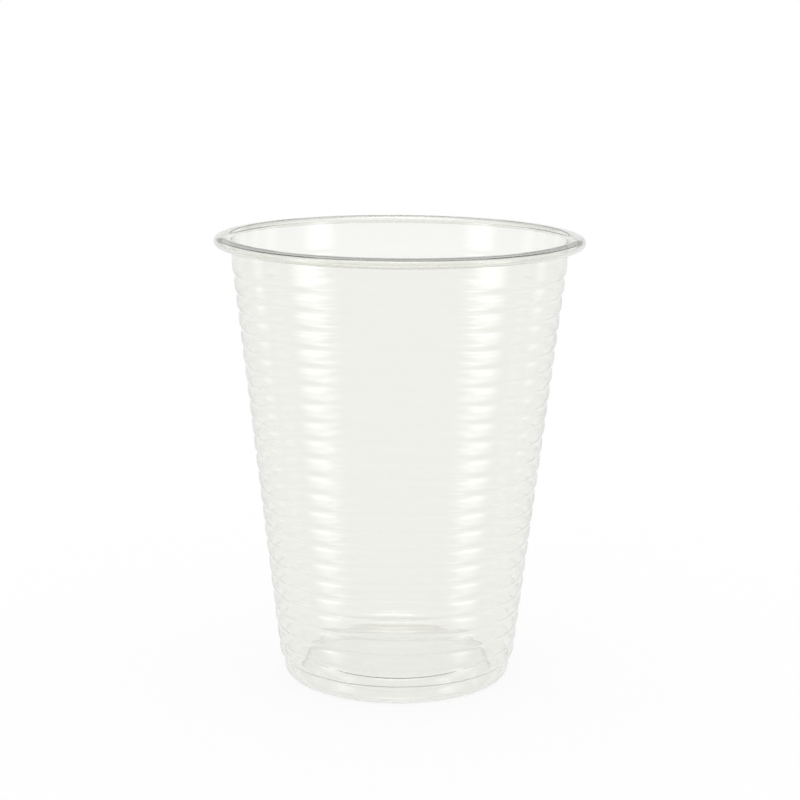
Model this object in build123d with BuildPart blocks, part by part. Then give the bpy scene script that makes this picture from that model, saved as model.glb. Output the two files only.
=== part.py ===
from build123d import *
from math import acos, atan, cos, degrees, radians, sin
import os

os.makedirs("parts", exist_ok=True)

# Sheet and mould
sheet = 0.25  # the base and the ribbed wall
rim_sheet = 0.3  # the rim, where the mould stretched the sheet least
draft = radians(2.5)  # lean of every upright land, so that the cup leaves its mould

# Overall height
cup_height = 90.5

# Ribbed wall, measured on the mould face
rib_count = 22  # grooves round the wall, from the shoulder up to the plain band
low_band_diameter = 49.2  # foot end of the lowest full band
top_band_diameter = 66.8  # foot end of the plain band under the rim
low_band_height = 8.6  # where the lowest full band starts, above the table
plain_band_height = 6.3  # from the start of the plain band to the top of the rim
groove_depth = 0.12  # how far a groove cuts in behind the band under it
groove_radius = 1.15
crown_inner_radius = 2.6  # inside the top edge of a band
skirt_inner_radius = 1.9  # inside the rounded lower end of a band

# Shoulder and foot
shoulder_land = 0.3  # upright stretch between the shoulder's curve and the first groove
foot_step = 0.95  # how far the foot stands in under the shoulder
foot_height = 3.7  # table to the corner under the shoulder
foot_groove_radius = 0.3
foot_corner_inner_radius = 1.75
standing_width = 1.0  # flat ring that touches the table

# Recessed base
base_recess = 3.6  # table to the underside of the base panel
base_lean = radians(25)  # lean of the ring wall that drops from the panel
base_corner_radius = 0.6
ring_inner_radius = 0.65

# Rolled rim
rim_overhang = 3.4  # wall to the outside of the roll
lip_radius = 0.9  # hollow corner under the rim
roll_inner_radius = 0.55  # inside the roll at the rim's edge
crest_rise = radians(3)  # slope of the rim's domed top where it leaves the lip
crest_fall = radians(14)  # slope at which it runs down into the roll
curl_turn = 80  # degrees that the trimmed edge curls up past the roll's lowest point

# One groove: in over the crown of the band below, round the groove, out to the next band
crown_radius = sheet + crown_inner_radius
skirt_radius = sheet + skirt_inner_radius
steps_between = rib_count - 1
rib_step = (top_band_diameter - low_band_diameter) / 2 / steps_between
top_band_base = cup_height - plain_band_height
rib_pitch = (top_band_base - low_band_height) / steps_between
turn_in = acos((crown_radius * cos(draft) + groove_radius - groove_depth) / (crown_radius + groove_radius))
reach = groove_radius + skirt_radius
fall_in = crown_radius * (cos(turn_in) - cos(draft)) + groove_radius * cos(turn_in)
rise_in = crown_radius * (sin(turn_in) + sin(draft)) + groove_radius * sin(turn_in)
free_step = rib_step - fall_in - skirt_radius * cos(draft)
free_rise = rib_pitch - rise_in + skirt_radius * sin(draft)
turn_out = draft + acos((free_rise * sin(draft) - free_step * cos(draft)) / reach)
band_land = (free_rise - reach * sin(turn_out)) / cos(draft)
groove_rise = rib_pitch - band_land * cos(draft)
groove_climb = rib_step - band_land * sin(draft)

# Shoulder: one curve, upright at its top, that ends on the corner over the foot
shoulder_top = low_band_height - groove_rise - shoulder_land * cos(draft)
shoulder_top_radius = low_band_diameter / 2 - groove_climb - shoulder_land * sin(draft)
shoulder_rise = shoulder_top - foot_height
shoulder_turn = 2 * atan(foot_step / shoulder_rise) - draft
shoulder_radius = shoulder_rise / (sin(shoulder_turn) - sin(draft)) - foot_groove_radius

# Foot, standing ring and base panel
foot_corner_radius = sheet + foot_corner_inner_radius
foot_land = (foot_height - foot_corner_radius * (1 - sin(draft))) / cos(draft)
foot_radius = shoulder_top_radius - foot_step - foot_land * sin(draft)
standing_radius = foot_radius - foot_corner_radius * cos(draft)
ring_corner_radius = sheet + ring_inner_radius
ring_bends = base_corner_radius + ring_corner_radius
ring_land = (base_recess - ring_bends * (1 - sin(base_lean))) / cos(base_lean)
ring_width = ring_bends * cos(base_lean) + ring_land * sin(base_lean)
panel_radius = standing_radius - standing_width - ring_width

# Rim: lip, domed crown and roll run into one another
dome_width = rim_overhang - rim_sheet - lip_radius * (cos(draft) - sin(crest_rise))
dome_span = dome_width - roll_inner_radius * (1 - sin(crest_fall))
dome_radius = dome_span / (sin(crest_rise) + sin(crest_fall))
dome_rise = dome_radius * (1 - cos(crest_rise))
lip_rise = lip_radius * (cos(crest_rise) - sin(draft))
plain_land = (plain_band_height - rim_sheet - dome_rise - lip_rise) / cos(draft)


def bend(before, radius, turn, inset):
    """Carries a face on from the line before it, round a bend: left turns are positive, in degrees."""
    side = inset if turn > 0 else -inset
    return JernArc(before @ 1, before % 1, radius - side, turn)


def land(before, length):
    """Carries a face on from the line before it, straight ahead."""
    return PolarLine(before @ 1, length, direction=before % 1)


def thicken(before, length, growth):
    """Carries a face on beside a straight mould face, while the sheet grows: it ends on its first heading."""
    ahead = before % 1
    end = before @ 1 + ahead * length + ahead.rotate(Axis.Z, 90) * growth
    return Spline(before @ 1, end, tangents=(ahead, ahead))


def sheet_face(inset, rim_inset):
    """Draws one face of the sheet, from the axis out and up to the trimmed edge of the rim.

    Insets of zero give the mould face, and insets of the sheet's thickness give the face inside the cup.
    """
    base = Line((0, base_recess + inset), (panel_radius, base_recess + inset))

    # Down the ring wall, across the standing ring and up the foot
    path = bend(base, base_corner_radius, -degrees(radians(90) - base_lean), inset)
    path = land(path, ring_land)
    path = bend(path, ring_corner_radius, degrees(radians(90) - base_lean), inset)
    path = land(path, standing_width)
    path = bend(path, foot_corner_radius, degrees(radians(90) - draft), inset)
    path = land(path, foot_land)

    # Out over the foot and round the shoulder
    path = bend(path, foot_groove_radius, -degrees(shoulder_turn - draft), inset)
    path = bend(path, shoulder_radius, degrees(shoulder_turn - draft), inset)
    path = land(path, shoulder_land)

    # Up the ribbed wall, one groove and one band at a time
    for groove in range(rib_count):
        path = bend(path, crown_radius, degrees(turn_in + draft), inset)
        path = bend(path, groove_radius, -degrees(turn_in + turn_out), inset)
        path = bend(path, skirt_radius, degrees(turn_out - draft), inset)
        if groove < steps_between:
            path = land(path, band_land)

    # Up the plain band, where the sheet grows to the rim's thickness
    growth = rim_inset - inset
    path = thicken(path, plain_land, growth) if growth else land(path, plain_land)

    # Out over the rim and round the roll
    path = bend(path, lip_radius, -degrees(radians(90) - crest_rise - draft), rim_inset)
    path = bend(path, dome_radius, -degrees(crest_rise + crest_fall), rim_inset)
    path = bend(path, roll_inner_radius, -degrees(radians(180) - crest_fall) - curl_turn, rim_inset)
    return base @ 0, path @ 1


# The cup: one sheet, formed in one go
with BuildPart() as cup:
    with BuildSketch(Plane.XZ):
        with BuildLine():
            mould_start, mould_end = sheet_face(0, 0)
            inside_start, inside_end = sheet_face(sheet, rim_sheet)
            Line(mould_start, inside_start)
            Line(mould_end, inside_end)
        make_face()
    revolve(axis=Axis.Z)

cup.part.label = "cup"
export_step(cup.part, "parts/cup.step")
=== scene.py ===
"""Dresses the ribbed drinking cup: one sheet of clear plastic, formed over a mould and rolled at the rim."""

import logging
from dataclasses import dataclass, field
from enum import Enum
from math import acos, atan, cos, pi, radians, sin
from typing import Any

import bpy
import numpy as np
from mathutils import Matrix

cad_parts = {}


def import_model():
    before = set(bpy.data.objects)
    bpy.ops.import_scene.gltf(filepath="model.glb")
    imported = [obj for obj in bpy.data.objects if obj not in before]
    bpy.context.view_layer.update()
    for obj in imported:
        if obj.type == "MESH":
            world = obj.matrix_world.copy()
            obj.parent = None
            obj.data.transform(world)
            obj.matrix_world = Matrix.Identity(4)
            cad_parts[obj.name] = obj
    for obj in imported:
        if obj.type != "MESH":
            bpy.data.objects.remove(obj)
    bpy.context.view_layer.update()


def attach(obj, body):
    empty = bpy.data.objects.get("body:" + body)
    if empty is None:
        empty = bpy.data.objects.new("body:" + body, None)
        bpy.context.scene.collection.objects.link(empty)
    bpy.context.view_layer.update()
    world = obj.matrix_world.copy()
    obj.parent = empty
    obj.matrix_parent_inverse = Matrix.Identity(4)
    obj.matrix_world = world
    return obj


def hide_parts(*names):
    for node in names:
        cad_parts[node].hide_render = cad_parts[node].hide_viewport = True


MM = 0.001
WHITE = "#ffffff"
# Light that runs on inside the rim takes more reflections than the usual four
INNER_REFLECTIONS = 8
log = logging.getLogger("cup")


def linear(code: str) -> tuple[float, float, float, float]:
    """Turns an sRGB hex colour into the linear colour that a shader socket takes.

    Args:
        code: six hex digits after a hash sign.

    Returns:
        Red, green, blue and an alpha of one.
    """
    srgb = np.array([int(code[at : at + 2], 16) for at in (1, 3, 5)]) / 255
    low = srgb / 12.92
    high = ((srgb + 0.055) / 1.055) ** 2.4
    red, green, blue = np.where(srgb <= 0.04045, low, high)
    return float(red), float(green), float(blue), 1.0


def add_node(
    tree: bpy.types.NodeTree,
    kind: str,
    settings: dict[str | int, Any] | None = None,
    links: dict[str | int, bpy.types.NodeSocket] | None = None,
) -> bpy.types.Node:
    """Adds a node, sets its sockets and properties, and links what feeds it.

    Args:
        tree: the node tree that takes the node.
        kind: the node's type name in Blender.
        settings: values by an input's name or number, or by property name where no input has that name.
        links: sockets of other nodes by the name or number of the input that they feed.

    Returns:
        The new node.
    """
    node = tree.nodes.new(kind)
    for name, value in (settings or {}).items():
        if isinstance(name, int) or name in node.inputs:
            node.inputs[name].default_value = value
        else:
            setattr(node, name, value)
    for name, source in (links or {}).items():
        tree.links.new(source, node.inputs[name])
    return node


def empty_tree(owner: bpy.types.Material | bpy.types.World) -> bpy.types.NodeTree:
    """Gives a material or a world a node tree with nothing in it."""
    owner.use_nodes = True
    owner.node_tree.nodes.clear()
    return owner.node_tree


class Turn(Enum):
    """Which way a bend in the sheet goes, seen along the path from the base to the rim."""

    LEFT = 1
    RIGHT = -1


class Face(Enum):
    """One of the sheet's two faces, as the share of its thickness that the face lies in from the mould."""

    MOULD = 0
    INSIDE = 1


class Side(Enum):
    """Which side of the cup a softbox stands on, seen from the camera."""

    LEFT = -1
    RIGHT = 1


@dataclass
class SheetPath:
    """One face of the sheet in section: points and headings, drawn like a pen that never lifts.

    A point is (distance from the axis, height) in millimetres. A heading is an angle in radians from straight
    outwards, growing as the path turns up.
    """

    face: Face
    sheet: float
    points: np.ndarray
    headings: np.ndarray = field(default_factory=lambda: np.zeros(1))

    @property
    def inset(self) -> float:
        """How far this face lies inside the mould face."""
        return self.face.value * self.sheet

    def land(self, length: float, pieces: int = 1) -> None:
        """Goes straight on: each point lies on the heading, in equal steps.

        Args:
            length: how far to go.
            pieces: how many steps to take.
        """
        heading = self.headings[-1]
        steps = np.linspace(0, length, pieces + 1)[1:, None]
        self._carry_on(steps * [cos(heading), sin(heading)], np.full(pieces, heading))

    def thicken(self, length: float, sheet: float, pieces: int) -> None:
        """Goes straight on while the sheet grows, by a smooth step: three squares less two cubes of the way.

        Args:
            length: how far to go along the mould face.
            sheet: the thickness at the end.
            pieces: how many steps to take.
        """
        heading = self.headings[-1]
        done = np.linspace(0, 1, pieces + 1)[1:, None]
        growth = self.face.value * (sheet - self.sheet)
        ahead = length * done * [cos(heading), sin(heading)]
        aside = growth * done**2 * (3 - 2 * done) * [-sin(heading), cos(heading)]
        lean = np.arctan(growth / length * 6 * done * (1 - done))
        self._carry_on(ahead + aside, heading + lean[:, 0])
        self.sheet = sheet

    def bend(self, turn: Turn, radius: float, angle: float, pieces: int) -> None:
        """Goes round an arc: the chord from its start turns and grows with the angle that is done.

        A bend to the left has its centre inside the cup, so an inset makes it tighter, and one to the right
        wider.

        Args:
            turn: which way to go.
            radius: radius of the mould face there.
            angle: how far to turn.
            pieces: how many steps to take.
        """
        heading = self.headings[-1]
        signed = turn.value * radius - self.inset
        ahead = heading + np.linspace(0, turn.value * angle, pieces + 1)[1:]
        chord = signed * np.column_stack([np.sin(ahead) - sin(heading), cos(heading) - np.cos(ahead)])
        self._carry_on(chord, ahead)

    def _carry_on(self, moves: np.ndarray, headings: np.ndarray) -> None:
        """Adds points, given from where the path ends, and their headings."""
        self.points = np.concatenate([self.points, self.points[-1] + moves])
        self.headings = np.concatenate([self.headings, headings])


@dataclass(frozen=True)
class ClearPolypropylene:
    """Clear polypropylene, thermoformed from sheet.

    It gives the eye a clear wall with a faint warm grey in it, that darkens where a ray runs along the sheet,
    soft clean highlights, and a slight unevenness where the sheet has been stretched over the mould. The grain
    that the mould leaves is finer on a real cup, and is drawn as coarse as it needs to show. Sizes and depths
    are in millimetres, and the density is per metre.
    """

    name: str = "clear_thermoformed_polypropylene"
    face: str = "#fcfcfa"
    ior: float = 1.49
    haze: float = 0.06
    body: str = "#bcbeae"
    density: float = 300.0
    ripple_size: float = 7.0
    ripple_depth: float = 0.012
    grain_size: float = 0.9
    grain_depth: float = 0.0008

    def material(self) -> bpy.types.Material:
        """Makes the material: glass-like faces with a ripple over them, and a sheet that takes a little light.

        Returns:
            The finished material.
        """
        material = bpy.data.materials.new(self.name)
        tree = empty_tree(material)
        place = add_node(tree, "ShaderNodeTexCoord").outputs["Object"]
        ripple = add_node(
            tree,
            "ShaderNodeTexNoise",
            {"Scale": 1 / (self.ripple_size * MM), "Detail": 1.0, "Roughness": 0.4},
            {"Vector": place},
        )
        grain = add_node(
            tree,
            "ShaderNodeTexNoise",
            {"Scale": 1 / (self.grain_size * MM), "Detail": 2.0, "Roughness": 0.5},
            {"Vector": place},
        )
        uneven = add_node(
            tree,
            "ShaderNodeBump",
            {"Strength": 1.0, "Distance": self.ripple_depth * MM},
            {"Height": ripple.outputs["Fac"]},
        )
        surface = add_node(
            tree,
            "ShaderNodeBump",
            {"Strength": 1.0, "Distance": self.grain_depth * MM},
            {"Height": grain.outputs["Fac"], "Normal": uneven.outputs["Normal"]},
        )
        faces = add_node(
            tree,
            "ShaderNodeBsdfPrincipled",
            {
                "Base Color": linear(self.face),
                "Roughness": self.haze,
                "IOR": self.ior,
                "Transmission Weight": 1.0,
            },
            {"Normal": surface.outputs["Normal"]},
        )
        inside = add_node(
            tree,
            "ShaderNodeVolumeAbsorption",
            {"Color": linear(self.body), "Density": self.density},
        )
        add_node(
            tree,
            "ShaderNodeOutputMaterial",
            links={"Surface": faces.outputs["BSDF"], "Volume": inside.outputs["Volume"]},
        )
        return material


@dataclass(frozen=True)
class Groove:
    """One groove of the wall and the band over it. Sizes are in millimetres and angles in radians.

    The path turns in over the band below and out to the next one, the land is the straight stretch of a band,
    and rise and climb are the height and the widening from one land to the next.
    """

    turn_in: float
    turn_out: float
    land: float
    rise: float
    climb: float


@dataclass
class RibbedCup:
    """The cup: recessed base, foot, shoulder, a wall of stepped bands with grooves between, and a rolled rim.

    Sizes are in millimetres and angles in radians. Radii are those of the mould face.
    """

    # Sheet and mould
    sheet: float = 0.25
    rim_sheet: float = 0.3
    draft: float = radians(2.5)
    height: float = 90.5

    # Ribbed wall
    rib_count: int = 22
    low_band_diameter: float = 49.2
    top_band_diameter: float = 66.8
    low_band_height: float = 8.6
    plain_band_height: float = 6.3
    groove_depth: float = 0.12
    groove_radius: float = 1.15
    crown_inner_radius: float = 2.6
    skirt_inner_radius: float = 1.9

    # Shoulder and foot
    shoulder_land: float = 0.3
    foot_step: float = 0.95
    foot_height: float = 3.7
    foot_groove_radius: float = 0.3
    foot_corner_inner_radius: float = 1.75
    standing_width: float = 1.0

    # Recessed base
    base_recess: float = 3.6
    base_lean: float = radians(25)
    base_corner_radius: float = 0.6
    ring_inner_radius: float = 0.65

    # Rolled rim
    rim_overhang: float = 3.4
    lip_radius: float = 0.9
    roll_inner_radius: float = 0.55
    crest_rise: float = radians(3)
    crest_fall: float = radians(14)
    curl_turn: float = radians(80)

    # Pieces of the mesh, round the cup and along each stretch of its section
    around: int = 180
    panel_pieces: int = 6
    ring_pieces: int = 4
    foot_corner_pieces: int = 8
    foot_groove_pieces: int = 2
    shoulder_pieces: int = 6
    crown_pieces: int = 2
    groove_pieces: int = 3
    skirt_pieces: int = 3
    plain_band_pieces: int = 8
    lip_pieces: int = 8
    dome_pieces: int = 6
    roll_pieces: int = 18
    edge_pieces: int = 5

    node: str = "cup"
    slot: str = "clear_polypropylene"
    finish: ClearPolypropylene = ClearPolypropylene()

    @property
    def _crown_radius(self) -> float:
        """Radius of the mould face over the top edge of a band."""
        return self.sheet + self.crown_inner_radius

    @property
    def _skirt_radius(self) -> float:
        """Radius of the mould face round the lower end of a band."""
        return self.sheet + self.skirt_inner_radius

    def _base_and_foot(self, path: SheetPath) -> None:
        """Draws the base panel, the ring wall that drops from it, the standing ring and the foot."""
        foot_corner = self.sheet + self.foot_corner_inner_radius
        ring_corner = self.sheet + self.ring_inner_radius
        ring_bends = self.base_corner_radius + ring_corner
        ring_land = (self.base_recess - ring_bends * (1 - sin(self.base_lean))) / cos(self.base_lean)
        ring_width = ring_bends * cos(self.base_lean) + ring_land * sin(self.base_lean)
        foot_land = (self.foot_height - foot_corner * (1 - sin(self.draft))) / cos(self.draft)
        foot_radius = self._shoulder_top()[0] - self.foot_step - foot_land * sin(self.draft)
        standing_radius = foot_radius - foot_corner * cos(self.draft)
        upright = pi / 2

        path.land(standing_radius - self.standing_width - ring_width, self.panel_pieces)
        path.bend(Turn.RIGHT, self.base_corner_radius, upright - self.base_lean, self.ring_pieces)
        path.land(ring_land)
        path.bend(Turn.LEFT, ring_corner, upright - self.base_lean, self.ring_pieces)
        path.land(self.standing_width)
        path.bend(Turn.LEFT, foot_corner, upright - self.draft, self.foot_corner_pieces)
        path.land(foot_land)

    def _shoulder(self, path: SheetPath) -> None:
        """Draws the step out over the foot and the long curve of the shoulder."""
        rise = self._shoulder_top()[1] - self.foot_height
        turn = 2 * atan(self.foot_step / rise) - self.draft
        radius = rise / (sin(turn) - sin(self.draft)) - self.foot_groove_radius

        path.bend(Turn.RIGHT, self.foot_groove_radius, turn - self.draft, self.foot_groove_pieces)
        path.bend(Turn.LEFT, radius, turn - self.draft, self.shoulder_pieces)
        path.land(self.shoulder_land)

    def _shoulder_top(self) -> tuple[float, float]:
        """Finds where the shoulder's curve ends.

        Returns:
            The radius and the height there.
        """
        groove = self._groove()
        radius = self.low_band_diameter / 2 - groove.climb - self.shoulder_land * sin(self.draft)
        top = self.low_band_height - groove.rise - self.shoulder_land * cos(self.draft)
        return radius, top

    def _groove(self) -> Groove:
        """Works out one groove: in over the crown of the band below, round the groove, out to the next band.

        Returns:
            The groove.
        """
        crown, skirt, lean = self._crown_radius, self._skirt_radius, self.draft
        step = (self.top_band_diameter - self.low_band_diameter) / 2 / (self.rib_count - 1)
        pitch = (self.height - self.plain_band_height - self.low_band_height) / (self.rib_count - 1)
        across = crown * cos(lean) + self.groove_radius - self.groove_depth
        turn_in = acos(across / (crown + self.groove_radius))
        fall_in = crown * (cos(turn_in) - cos(lean)) + self.groove_radius * cos(turn_in)
        rise_in = crown * (sin(turn_in) + sin(lean)) + self.groove_radius * sin(turn_in)
        free_step = step - fall_in - skirt * cos(lean)
        free_rise = pitch - rise_in + skirt * sin(lean)
        reach = self.groove_radius + skirt
        turn_out = lean + acos((free_rise * sin(lean) - free_step * cos(lean)) / reach)
        land = (free_rise - reach * sin(turn_out)) / cos(lean)
        return Groove(turn_in, turn_out, land, pitch - land * cos(lean), step - land * sin(lean))

    def _ribs(self, path: SheetPath) -> None:
        """Draws the ribbed wall, one groove and one band at a time, and the plain band under the rim."""
        groove = self._groove()
        plain = self.plain_band_height - self.rim_sheet - self._dome_radius() * (1 - cos(self.crest_rise))
        plain -= self.lip_radius * (cos(self.crest_rise) - sin(self.draft))

        for rib in range(self.rib_count):
            path.bend(Turn.LEFT, self._crown_radius, groove.turn_in + self.draft, self.crown_pieces)
            path.bend(Turn.RIGHT, self.groove_radius, groove.turn_in + groove.turn_out, self.groove_pieces)
            path.bend(Turn.LEFT, self._skirt_radius, groove.turn_out - self.draft, self.skirt_pieces)
            if rib < self.rib_count - 1:
                path.land(groove.land)
        path.thicken(plain / cos(self.draft), self.rim_sheet, self.plain_band_pieces)

    def _dome_radius(self) -> float:
        """Works out the radius of the rim's domed top from its width and its slopes at the lip and the roll.

        Returns:
            The radius.
        """
        lip_width = self.lip_radius * (cos(self.draft) - sin(self.crest_rise))
        width = self.rim_overhang - self.rim_sheet - lip_width
        span = width - self.roll_inner_radius * (1 - sin(self.crest_fall))
        return span / (sin(self.crest_rise) + sin(self.crest_fall))

    def _rim(self, path: SheetPath) -> None:
        """Draws the lip, the domed top and the roll, which stops short by the rounding of the trimmed edge."""
        rounding = self.rim_sheet / 2 / (self.roll_inner_radius + self.rim_sheet / 2)
        roll = pi - self.crest_fall + self.curl_turn - rounding

        path.bend(Turn.RIGHT, self.lip_radius, pi / 2 - self.crest_rise - self.draft, self.lip_pieces)
        path.bend(Turn.RIGHT, self._dome_radius(), self.crest_rise + self.crest_fall, self.dome_pieces)
        path.bend(Turn.RIGHT, self.roll_inner_radius, roll, self.roll_pieces)

    def draw(self, face: Face) -> SheetPath:
        """Draws one face of the sheet, from the axis out and up to the trimmed edge of the rim.

        Args:
            face: which of the two.

        Returns:
            The path of that face.
        """
        path = SheetPath(face, self.sheet, np.array([[0.0, self.base_recess + face.value * self.sheet]]))
        self._base_and_foot(path)
        self._shoulder(path)
        self._ribs(path)
        self._rim(path)
        return path

    def section(self) -> tuple[np.ndarray, np.ndarray]:
        """Draws the whole section: the mould face, a half round at the trimmed edge, and the inside face back.

        Returns:
            The points, from one pole on the axis to the other, and the way that the surface faces at each.
        """
        mould, inside = self.draw(Face.MOULD), self.draw(Face.INSIDE)
        out = np.column_stack([np.sin(mould.headings), -np.cos(mould.headings)])
        back = -np.column_stack([np.sin(inside.headings), -np.cos(inside.headings)])

        heading = mould.headings[-1]
        swing = np.linspace(0, pi, self.edge_pieces + 1)[1:-1, None]
        edge_facing = np.cos(swing) * out[-1] + np.sin(swing) * [cos(heading), sin(heading)]
        edge = (mould.points[-1] + inside.points[-1]) / 2 + self.rim_sheet / 2 * edge_facing

        points = np.concatenate([mould.points, edge, inside.points[::-1]])
        facing = np.concatenate([out, edge_facing, back[::-1]])
        return points, facing

    def build(self) -> bpy.types.Object:
        """Turns the section round the axis: a point at angle a lies at radius times cosine and sine of a.

        The two poles are single points with a fan of triangles, and the seam is closed because the last column
        of faces comes back to the first column of points.

        Returns:
            The cup, in place of its solid.
        """
        points, facing = self.section()
        rings = len(points) - 2
        angle = np.linspace(0, 2 * pi, self.around, endpoint=False)
        spoke = np.column_stack([np.cos(angle), np.sin(angle)])

        def turned(pairs: np.ndarray) -> np.ndarray:
            """Carries pairs of outward and upward parts round the axis.

            Args:
                pairs: one pair for each point of the section.

            Returns:
                A row for each point of the mesh, with the two poles at the end.
            """
            across = pairs[1:-1, 0, None, None] * spoke
            up = np.broadcast_to(pairs[1:-1, 1, None, None], (rings, self.around, 1))
            grid = np.concatenate([across, up], axis=2).reshape(-1, 3)
            poles = np.array([[0, 0, pairs[0, 1]], [0, 0, pairs[-1, 1]]])
            return np.concatenate([grid, poles])

        index = np.arange(rings * self.around).reshape(rings, self.around)
        beside = np.roll(index, -1, axis=1)
        quads = np.stack([index[:-1], beside[:-1], beside[1:], index[1:]], axis=-1).reshape(-1, 4)
        first = np.column_stack([np.full(self.around, index.size), beside[0], index[0]])
        last = np.column_stack([np.full(self.around, index.size + 1), index[-1], beside[-1]])

        mesh = bpy.data.meshes.new(self.node + "_sheet")
        mesh.from_pydata(turned(points) * MM, [], quads.tolist() + first.tolist() + last.tolist())
        mesh.shade_smooth()
        mesh.normals_split_custom_set_from_vertices(turned(facing))
        cup = bpy.data.objects.new(self.node + "_sheet", mesh)
        bpy.context.scene.collection.objects.link(cup)
        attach(cup, "root")
        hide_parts(self.node)
        return cup

    def dress(self, cup: bpy.types.Object) -> None:
        """Gives the cup its finish."""
        cup.data.materials.append(self.finish.material())


def looking_ray(tree: bpy.types.NodeTree) -> bpy.types.NodeSocket:
    """Tells the rays that look at the surround, straight or by the cup, from those that light things.

    Args:
        tree: the node tree that asks.

    Returns:
        One for a ray that looks, and zero for the others.
    """
    ray = add_node(tree, "ShaderNodeLightPath")
    by_cup = add_node(
        tree,
        "ShaderNodeMath",
        {"operation": "MAXIMUM"},
        {0: ray.outputs["Is Glossy Ray"], 1: ray.outputs["Is Transmission Ray"]},
    )
    looking = add_node(
        tree,
        "ShaderNodeMath",
        {"operation": "MAXIMUM"},
        {0: ray.outputs["Is Camera Ray"], 1: by_cup.outputs["Value"]},
    )
    return looking.outputs["Value"]


@dataclass(frozen=True)
class LitFabric:
    """Thin white softbox fabric with a lamp behind its middle: a highlight that fades out to its edges.

    The width and the height are in millimetres. The mirrored depth parts rays that have been reflected at least
    once from those that have not.
    """

    width: float
    height: float
    level: float
    mirrored_depth: float = 0.5
    name: str = "softbox_fabric"

    def material(self) -> bpy.types.Material:
        """Makes the material: light that falls to nothing at the edge of an oval, over what is behind.

        The light shows to rays that have been reflected on their way, and not to those that come straight
        through the cup.

        Returns:
            The finished material.
        """
        material = bpy.data.materials.new(self.name)
        tree = empty_tree(material)
        place = add_node(tree, "ShaderNodeTexCoord").outputs["Object"]
        stretch = (2 / (self.width * MM), 2 / (self.height * MM), 1)
        oval = add_node(tree, "ShaderNodeMapping", {"Scale": stretch}, {"Vector": place})
        nearness = add_node(
            tree,
            "ShaderNodeTexGradient",
            {"gradient_type": "SPHERICAL"},
            {"Vector": oval.outputs["Vector"]},
        )
        fade = add_node(
            tree,
            "ShaderNodeMapRange",
            {"interpolation_type": "SMOOTHSTEP", "To Max": self.level},
            {"Value": nearness.outputs["Fac"]},
        )
        ray = add_node(tree, "ShaderNodeLightPath")
        mirrored = add_node(
            tree,
            "ShaderNodeMath",
            {"operation": "GREATER_THAN", 1: self.mirrored_depth},
            {0: ray.outputs["Glossy Depth"]},
        )
        shown = add_node(
            tree,
            "ShaderNodeMath",
            {"operation": "MULTIPLY"},
            {0: fade.outputs["Result"], 1: mirrored.outputs["Value"]},
        )
        glow = add_node(tree, "ShaderNodeEmission", {"Color": linear(WHITE)}, {"Strength": shown.outputs["Value"]})
        clear = add_node(tree, "ShaderNodeBsdfTransparent")
        both = add_node(
            tree, "ShaderNodeAddShader", links={0: glow.outputs["Emission"], 1: clear.outputs["BSDF"]}
        )
        add_node(tree, "ShaderNodeOutputMaterial", links={"Surface": both.outputs["Shader"]})
        return material


@dataclass(frozen=True)
class WhiteLaminate:
    """White laminate, flat and matt: it gives the eye plain white, and a faint shadow where the cup stands."""

    colour: str = "#fdfdfd"
    glow: float = 0.9
    name: str = "white_laminate"

    def material(self) -> bpy.types.Material:
        """Makes the material: mostly an even white to rays that look, and a matt white to those that light.

        Returns:
            The finished material.
        """
        material = bpy.data.materials.new(self.name)
        tree = empty_tree(material)
        matt = add_node(tree, "ShaderNodeBsdfDiffuse", {"Color": linear(self.colour)})
        white = add_node(tree, "ShaderNodeEmission", {"Color": linear(WHITE), "Strength": 1.0})
        share = add_node(
            tree, "ShaderNodeMath", {"operation": "MULTIPLY", 1: self.glow}, {0: looking_ray(tree)}
        )
        mix = add_node(
            tree,
            "ShaderNodeMixShader",
            links={"Fac": share.outputs["Value"], 1: matt.outputs["BSDF"], 2: white.outputs["Emission"]},
        )
        add_node(tree, "ShaderNodeOutputMaterial", links={"Surface": mix.outputs["Shader"]})
        return material


@dataclass(frozen=True)
class GreyFelt:
    """Grey felt in even light: it gives the eye one flat tone, which the rim draws as a line."""

    level: float = 0.42
    name: str = "grey_felt"

    def material(self) -> bpy.types.Material:
        """Makes the material: an even grey with no shading.

        Returns:
            The finished material.
        """
        material = bpy.data.materials.new(self.name)
        tree = empty_tree(material)
        tone = add_node(tree, "ShaderNodeEmission", {"Color": linear(WHITE), "Strength": self.level})
        add_node(tree, "ShaderNodeOutputMaterial", links={"Surface": tone.outputs["Emission"]})
        return material


def rectangle(width: float, height: float) -> np.ndarray:
    """Gives the corners of a rectangle round the origin: half of each side, left or right and down or up."""
    return np.array([width, height]) / 2 * [[-1, -1], [1, -1], [1, 1], [-1, 1]]


def flat_sheet(name: str, outline: np.ndarray, material: bpy.types.Material) -> bpy.types.Object:
    """Makes a flat sheet of the stage: one face on its corners.

    Args:
        name: what to call it.
        outline: its corners in order, in its own plane, in millimetres.
        material: what it is made of.

    Returns:
        The sheet.
    """
    mesh = bpy.data.meshes.new(name)
    corners = np.column_stack([outline * MM, np.zeros(len(outline))])
    mesh.from_pydata(corners, [], [list(range(len(outline)))])
    mesh.materials.append(material)
    sheet = bpy.data.objects.new(name, mesh)
    bpy.context.scene.collection.objects.link(sheet)
    return sheet


def studio_panel(name: str, outline: np.ndarray, material: bpy.types.Material) -> bpy.types.Object:
    """Puts up a flat panel that shows only in the cup, and throws no light or shadow on the table.

    Args:
        name: what to call it.
        outline: its corners in order, in its own plane, in millimetres.
        material: what it is made of.

    Returns:
        The panel.
    """
    panel = flat_sheet(name, outline, material)
    panel.visible_camera = False
    panel.visible_diffuse = False
    panel.visible_shadow = False
    return panel


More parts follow.
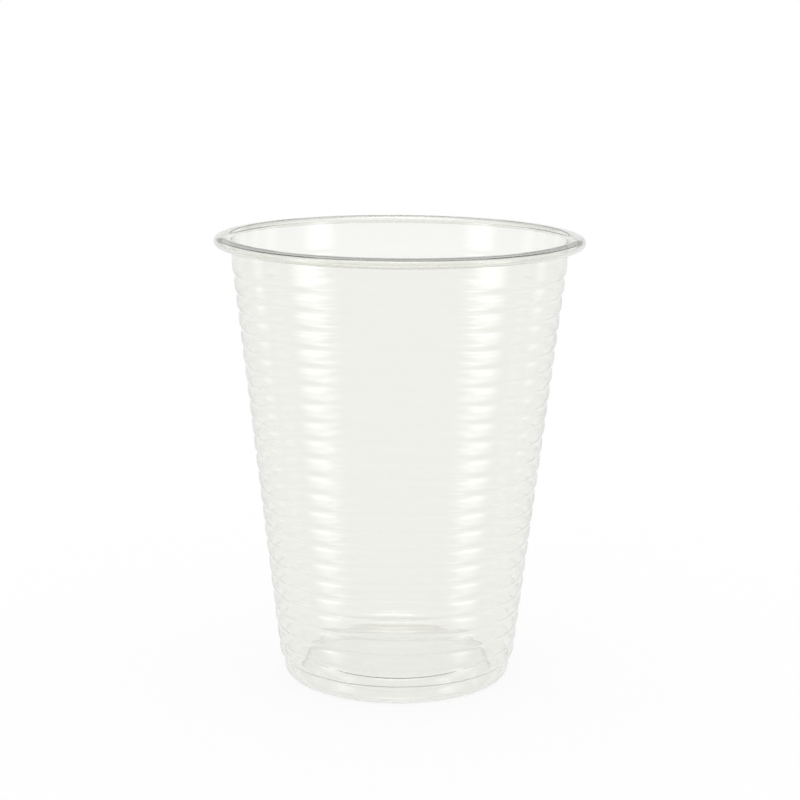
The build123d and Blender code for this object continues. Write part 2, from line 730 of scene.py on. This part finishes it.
@dataclass
class Softbox:
    """A tall softbox beside the table, with its middle at a height over the table top. Sizes are in millimetres.

    The bearing is the angle round the cup from the side that faces the camera.
    """

    name: str
    width: float
    height: float
    middle: float
    reach: float
    bearing: float
    level: float

    def stand(self, side: Side) -> bpy.types.Object:
        """Stands the softbox beside the cup, facing it, so that each band carries a soft highlight.

        Args:
            side: which side of the cup it stands on.

        Returns:
            The softbox.
        """
        fabric = LitFabric(self.width, self.height, self.level)
        outline = rectangle(self.width, self.height)
        box = studio_panel(f"{self.name}_{side.name.lower()}", outline, fabric.material())
        bearing = side.value * self.bearing
        box.location = (self.reach * sin(bearing) * MM, -self.reach * cos(bearing) * MM, self.middle * MM)
        box.rotation_euler = (pi / 2, 0, bearing)
        return box


@dataclass
class Studio:
    """A white table in an even white surround, a softbox overhead and a grey flag behind.

    Sizes and places are in millimetres and angles in radians.
    """

    floor_side: float = 6000.0
    laminate: WhiteLaminate = WhiteLaminate()
    surround: float = 1.0
    overhead_width: float = 600.0
    overhead_depth: float = 400.0
    overhead_height: float = 500.0
    overhead_ahead: float = 50.0
    overhead_level: float = 4.5
    flag_behind: float = 50.0
    flag_width: float = 140.0
    flag_gap: float = 56.0
    flag_foot: float = 99.0
    flag_arch: float = 108.0
    flag_top: float = 190.0
    felt: GreyFelt = GreyFelt()
    camera_place: tuple[float, float, float] = (0.285, -410.0, 141.336)
    camera_fall: float = radians(11.64)
    camera_roll: float = radians(0.446)
    camera_lens: float = 92.98
    camera_sensor: float = 36.0
    camera_near: float = 10.0

    def surround_light(self) -> None:
        """Makes the world: white to look at, and a plain level of light from all round."""
        world = bpy.data.worlds.new("surround")
        tree = empty_tree(world)
        lit = add_node(tree, "ShaderNodeBackground", {"Color": linear(WHITE), "Strength": self.surround})
        white = add_node(tree, "ShaderNodeBackground", {"Color": linear(WHITE), "Strength": 1.0})
        mix = add_node(
            tree,
            "ShaderNodeMixShader",
            links={"Fac": looking_ray(tree), 1: lit.outputs["Background"], 2: white.outputs["Background"]},
        )
        add_node(tree, "ShaderNodeOutputWorld", links={"Surface": mix.outputs["Shader"]})
        bpy.context.scene.world = world

    def table(self) -> bpy.types.Object:
        """Lays the table, which reflections look through, so that highlights run on below its level.

        Returns:
            The table top.
        """
        floor = flat_sheet("table_top", rectangle(self.floor_side, self.floor_side), self.laminate.material())
        floor.visible_glossy = False
        return floor

    def overhead_softbox(self) -> bpy.types.Object:
        """Hangs a softbox level over the cup and a little towards the camera, which lights up the rim's roll.

        Returns:
            The softbox.
        """
        fabric = LitFabric(self.overhead_width, self.overhead_depth, self.overhead_level)
        outline = rectangle(self.overhead_width, self.overhead_depth)
        box = studio_panel("overhead_softbox", outline, fabric.material())
        box.location = (0, -self.overhead_ahead * MM, self.overhead_height * MM)
        return box

    def grey_flag(self) -> bpy.types.Object:
        """Stands a grey flag close behind the cup and over its rim, for the grey line along the rim's front.

        It is an arch: the back of the rim looks up under it and keeps a pale line, and its two legs carry the
        line on to the ends of the rim.

        Returns:
            The flag.
        """
        leg, half = self.flag_gap / 2, self.flag_width / 2
        right = [[leg, self.flag_arch], [leg, self.flag_foot], [half, self.flag_foot], [half, self.flag_top]]
        outline = np.concatenate([right, np.array(right)[::-1] * [-1, 1]])
        flag = studio_panel("grey_flag", outline, self.felt.material())
        flag.location = (0, self.flag_behind * MM, 0)
        flag.rotation_euler = (pi / 2, 0, 0)
        return flag

    def camera(self) -> bpy.types.Object:
        """Sets up the camera in front of the cup, a little above its rim.

        Returns:
            The camera.
        """
        lens = bpy.data.cameras.new("camera")
        lens.lens = self.camera_lens
        lens.sensor_width = self.camera_sensor
        lens.clip_start = self.camera_near * MM
        camera = bpy.data.objects.new("camera", lens)
        look = Matrix.Rotation(pi / 2 - self.camera_fall, 4, "X") @ Matrix.Rotation(self.camera_roll, 4, "Z")
        place = Matrix.Translation([part * MM for part in self.camera_place])
        camera.matrix_world = place @ look
        bpy.context.scene.collection.objects.link(camera)
        bpy.context.scene.camera = camera
        return camera


def main() -> None:
    """Builds the cup and the studio round it, and notes the cup's faces and each piece of the studio as it is put
    up.
    """
    logging.basicConfig(level=logging.INFO, format="%(message)s")
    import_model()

    ribbed = RibbedCup()
    cup = ribbed.build()
    ribbed.dress(cup)
    log.info("%s: %d faces", cup.name, len(cup.data.polygons))

    studio = Studio()
    studio.surround_light()
    log.info("%s laid", studio.table().name)
    front = Softbox(
        "front_softbox", width=250.0, height=700.0, middle=30.0, reach=400.0, bearing=radians(62), level=2.3
    )
    beside = Softbox(
        "side_softbox", width=160.0, height=500.0, middle=130.0, reach=400.0, bearing=radians(108), level=0.7
    )
    for box in (front, beside):
        for side in Side:
            log.info("%s lit", box.stand(side).name)
    log.info("%s lit", studio.overhead_softbox().name)
    log.info("%s stood", studio.grey_flag().name)
    log.info("%s set", studio.camera().name)
    bpy.context.scene.view_settings.view_transform = "Standard"
    bpy.context.scene.cycles.glossy_bounces = INNER_REFLECTIONS


if __name__ == "__main__":
    main()
